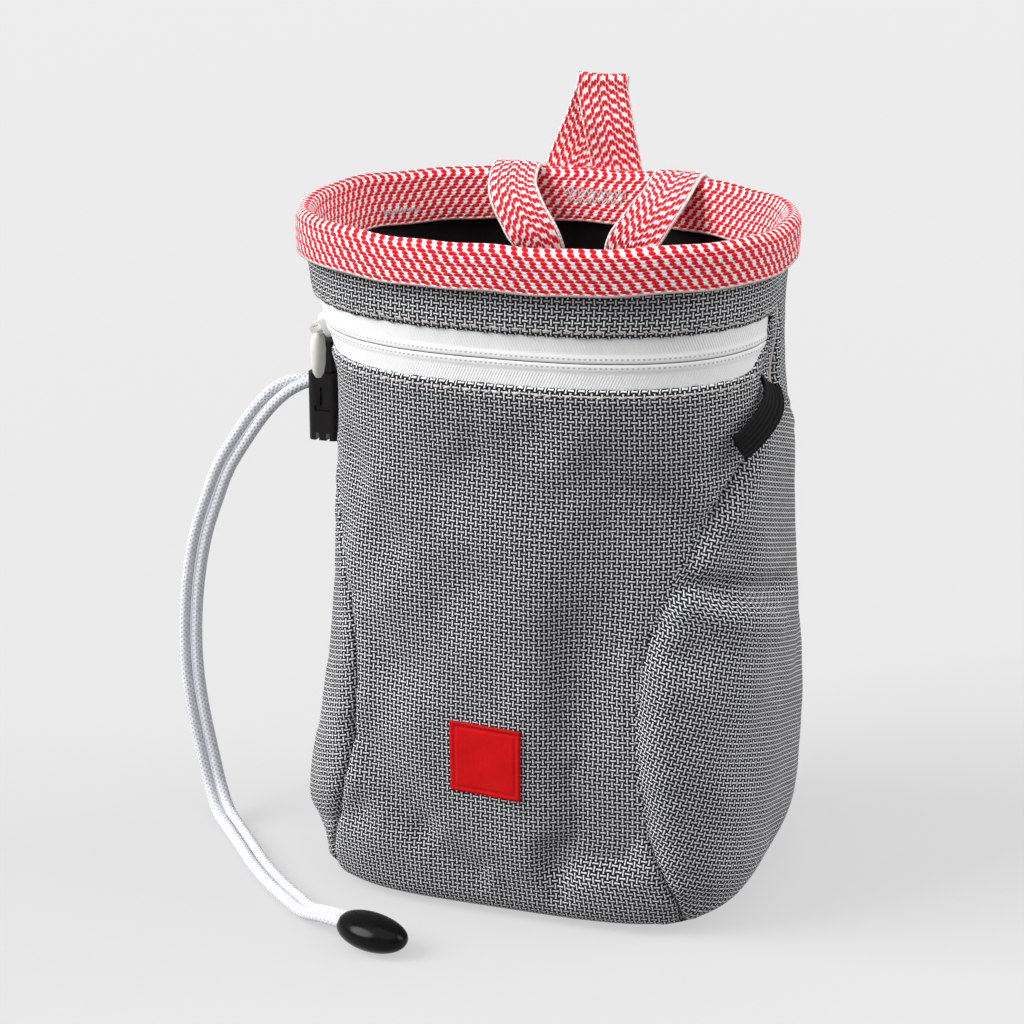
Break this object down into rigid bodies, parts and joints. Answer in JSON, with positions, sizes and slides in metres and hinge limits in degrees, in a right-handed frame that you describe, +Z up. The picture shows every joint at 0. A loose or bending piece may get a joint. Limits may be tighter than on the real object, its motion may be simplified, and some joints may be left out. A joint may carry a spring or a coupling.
{
  "type": "climbing chalk bag",
  "caption": "Soft open-topped chalk bag with side gussets, a front zip pocket, a webbing rim, belt loops, a hang loop and a doubled drawcord with its lock.",
  "frame": {"origin": "middle of the flat patch of the base that the bag stands on", "axes": "+Z up; the front with the zip and the label faces -Y; +X is the side with the brush loop; the belt loops and the hang loop are at the rear, +Y"},
  "size_m": [0.1641, 0.1304, 0.1978],
  "materials": {
    "cloth": "basket weave of charcoal and pale grey yarn",
    "lining": "smooth black lining cloth",
    "webbing": "red and white diagonal woven webbing",
    "zip_tape": "white woven tape",
    "zip_slider": "white enamel",
    "zip_pull": "soft satin, cream",
    "label": "dense red satin weave",
    "elastic": "ribbed black elastic",
    "cord": "braided white cord",
    "cord_lock": "satin, near black",
    "cord_end": "glossy black"
  },
  "bodies": {
    "root": {"main_panel": "cloth", "side_panel_left": "cloth", "side_panel_right": "cloth", "lining": "lining", "rim_binding": "webbing", "zip_tape_lower": "zip_tape", "zip_tape_upper": "zip_tape", "zip_slider": "zip_slider", "label": "label", "brush_loop": "elastic", "belt_loop_left": "webbing", "belt_loop_right": "webbing", "hang_loop": "webbing", "drawcord_front": "cord", "drawcord_back": "cord", "cord_lock_barrel": "cord_lock", "cord_end": "cord_end"},
    "zip_pull": {"zip_pull": "zip_pull"},
    "lock_button": {"cord_lock_button": "cord_lock"}
  },
  "joints": [
    {"name": "pull_swing", "type": "hinge", "parent": "root", "child": "zip_pull", "pos_m": [-0.056, -0.0126, 0.14058], "axis": [0.1471, -0.9891, 0], "range_deg": [-90, 0]},
    {"name": "lock_press", "type": "slide", "parent": "root", "child": "lock_button", "axis": [0, 0, -1], "range_m": [0, 0.004], "stiffness_N_per_m": 250}
  ]
}
